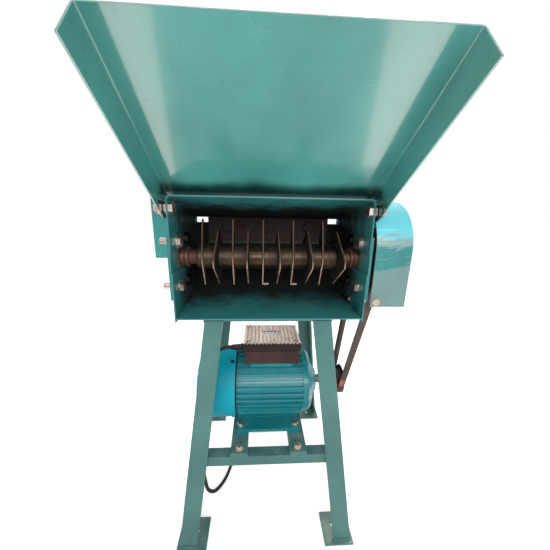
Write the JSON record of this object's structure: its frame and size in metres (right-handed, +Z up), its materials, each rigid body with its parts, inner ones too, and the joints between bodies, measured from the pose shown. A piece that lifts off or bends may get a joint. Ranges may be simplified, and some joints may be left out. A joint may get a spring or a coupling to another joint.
{
  "type": "chaff cutter",
  "caption": "Electric chaff cutter: bladed rotor in a steel box with a swinging hood and feed tray, belt-driven by a motor on a splayed angle-iron stand.",
  "frame": {"origin": "on the floor, under the middle of the bounding box taken without the lead", "axes": "+X to the right seen from the open front, +Y from the front to the feed tray, +Z up"},
  "size_m": [0.464, 0.6268, 0.8283],
  "materials": {
    "box_paint": "satin enamel",
    "hood_paint": "gloss enamel",
    "guard_paint": "satin enamel",
    "stand_paint": "satin enamel",
    "motor_paint": "satin enamel",
    "dark_steel": "dull",
    "rusty_steel": "dull, rusted",
    "turned_steel": "turned",
    "zinc": "zinc plated",
    "pulley_iron": "painted",
    "black_plastic": "matte",
    "belt_rubber": "matte",
    "lead_rubber": "matte"
  },
  "bodies": {
    "machine": {"box_shell": "box_paint", "floor_plate": "box_paint", "rear_wall": "box_paint", "counter_plate": "dark_steel", "counter_bolts": "dark_steel", "bearing_plate_left": "box_paint", "bearing_plate_right": "box_paint", "bearing_outer_rings": "turned_steel", "bearing_bolts": "zinc", "bearing_nuts": "zinc", "hinge_bolts": "zinc", "hinge_nuts": "zinc", "drive_belt": "belt_rubber", "belt_guard": "guard_paint", "guard_bracket": "guard_paint", "guard_bolts": "zinc", "motor_frame": "motor_paint", "drive_end_shield": "motor_paint", "fan_end_shield": "motor_paint", "fan_cowl": "motor_paint", "motor_bolts": "zinc", "motor_nuts": "zinc", "terminal_box": "black_plastic", "terminal_lid": "black_plastic", "lid_screws": "zinc", "leg_front_left": "stand_paint", "leg_front_right": "stand_paint", "leg_rear_left": "stand_paint", "leg_rear_right": "stand_paint", "top_side_bars": "stand_paint", "top_cross_bars": "stand_paint", "front_cross_bar": "stand_paint", "rear_cross_bar": "stand_paint", "motor_rails": "stand_paint", "foot_plates": "stand_paint", "tray_posts": "stand_paint", "feed_tray": "box_paint", "tray_cover": "box_paint", "cable_gland": "black_plastic", "lead_clips": "zinc", "mains_lead": "lead_rubber", "lead_coil": "lead_rubber", "lead_tie": "black_plastic", "lead_plug": "lead_rubber"},
    "rotor": {"rotor_shaft": "rusty_steel", "blade_spacers": "turned_steel", "knife_blades": "rusty_steel", "cross_blades": "rusty_steel", "shaft_collars": "zinc", "bearing_inner_rings": "turned_steel", "rotor_pulley": "pulley_iron"},
    "motor_rotor": {"cooling_fan": "black_plastic", "motor_shaft": "turned_steel", "motor_pulley": "pulley_iron"},
    "hood": {"hood": "hood_paint"}
  },
  "joints": [
    {"name": "rotor_spin", "type": "hinge", "parent": "machine", "child": "rotor", "pos_m": [0, -0.08863, 0.602], "axis": [1, 0, 0], "continuous": true},
    {"name": "motor_spin", "type": "hinge", "parent": "machine", "child": "motor_rotor", "pos_m": [0, 0.01037, 0.287], "axis": [1, 0, 0], "continuous": true},
    {"name": "hood_swing", "type": "hinge", "parent": "machine", "child": "hood", "pos_m": [0, -0.13663, 0.682], "axis": [1, 0, 0], "range_deg": [-10, 127]}
  ],
  "couplings": [
    {"joint": "motor_spin", "follows": "rotor_spin", "ratio": 1.7143}
  ]
}
